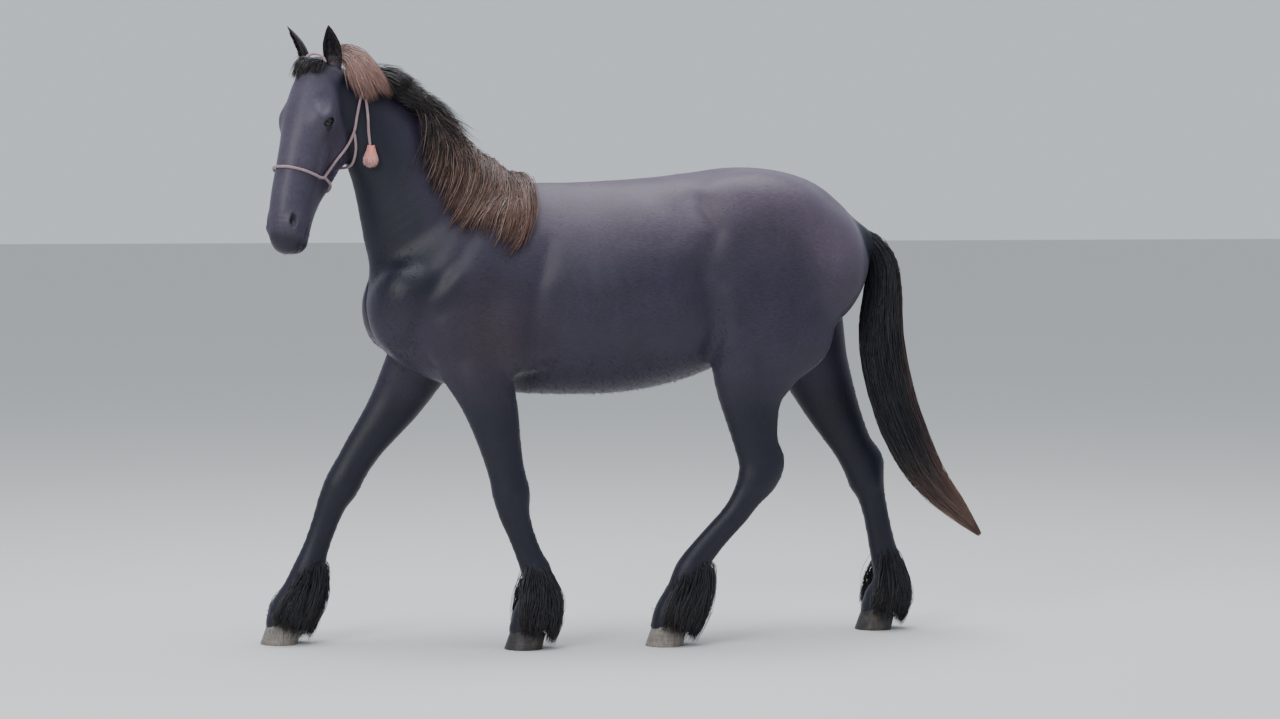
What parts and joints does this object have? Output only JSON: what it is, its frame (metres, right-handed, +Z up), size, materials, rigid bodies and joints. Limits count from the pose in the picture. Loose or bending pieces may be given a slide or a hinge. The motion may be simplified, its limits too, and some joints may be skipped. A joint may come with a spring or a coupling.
{
  "type": "friesian horse",
  "caption": "Life-size young black Friesian horse in a long walking stride, head turned to its left, in a thin rope halter.",
  "frame": {"origin": "middle of the box around the horse, on the floor that its hooves stand on", "axes": "+Z up, the horse faces -X and its left side faces -Y; the box is longest along X"},
  "size_m": [2.3088, 0.499, 1.9165],
  "materials": {
    "coat": "short dark coat with a soft sheen",
    "hair": "long black hair with sun-bleached rusty ends",
    "horn": "dusty hoof horn",
    "eye": "wet dark eye",
    "rope": "thin twisted rope"
  },
  "bodies": {
    "root": {"leg_fore_left": "coat", "hoof_fore_left": "horn", "leg_fore_right": "coat", "hoof_fore_right": "horn", "leg_hind_left": "coat", "hoof_hind_left": "horn", "leg_hind_right": "coat", "hoof_hind_right": "horn", "torso": "coat", "tail": "hair", "eye_left": "eye", "ear_left": "coat", "eye_right": "eye", "ear_right": "coat", "halter_noseband": "rope", "halter_cheeks": "rope", "halter_throat": "rope", "halter_tie": "rope", "neck": "coat", "head": "coat"}
  },
  "joints": []
}
